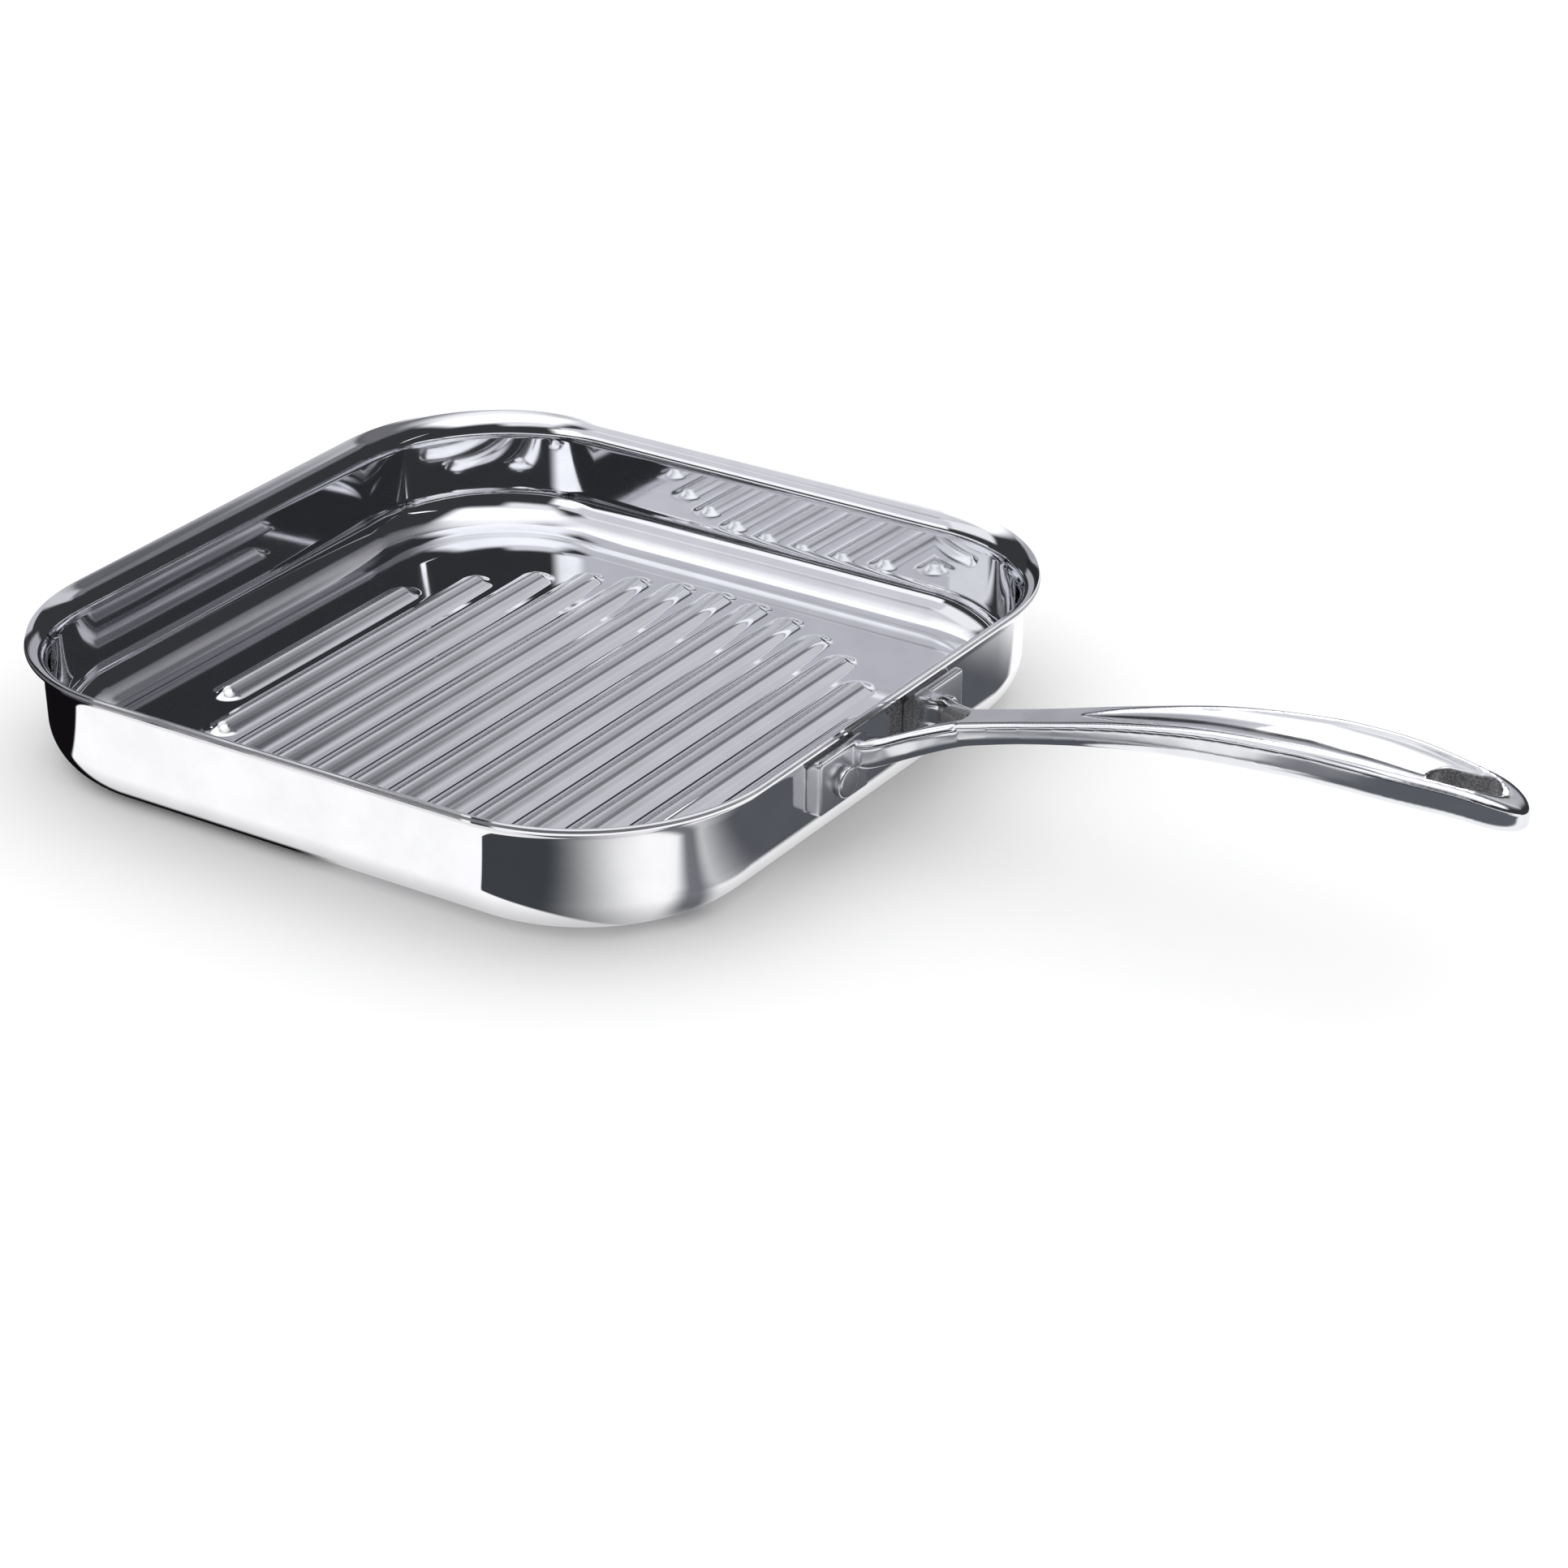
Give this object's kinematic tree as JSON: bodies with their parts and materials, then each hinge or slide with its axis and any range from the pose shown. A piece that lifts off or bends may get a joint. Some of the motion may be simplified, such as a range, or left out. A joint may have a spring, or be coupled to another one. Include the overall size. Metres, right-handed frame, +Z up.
{
  "type": "grill pan",
  "caption": "Square clad stainless steel grill pan with rounded corners, pressed parallel ribs, a rolled lip and a cast fork handle with a thumb dish and a hanging hole.",
  "frame": {"origin": "middle of the pan's base, on the surface that it stands on", "axes": "+Z up, +X from the pan along the handle, +Y along the ribs"},
  "size_m": [0.4996, 0.28, 0.0706],
  "materials": {
    "cooking_steel": "mirror-polished stainless steel with faint polishing lines and satin rib crests",
    "core_aluminium": "bonded aluminium core, bare only at the trimmed lip",
    "outer_steel": "mirror-polished stainless steel",
    "handle_steel": "cast stainless steel, polished outside, shot-blasted between the fork legs and in the hole",
    "rivet_steel": "polished stainless steel"
  },
  "bodies": {
    "root": {"pan_inner_ply": "cooking_steel", "pan_core": "core_aluminium", "pan_outer_ply": "outer_steel", "handle": "handle_steel", "handle_rivets": "rivet_steel"}
  },
  "joints": []
}
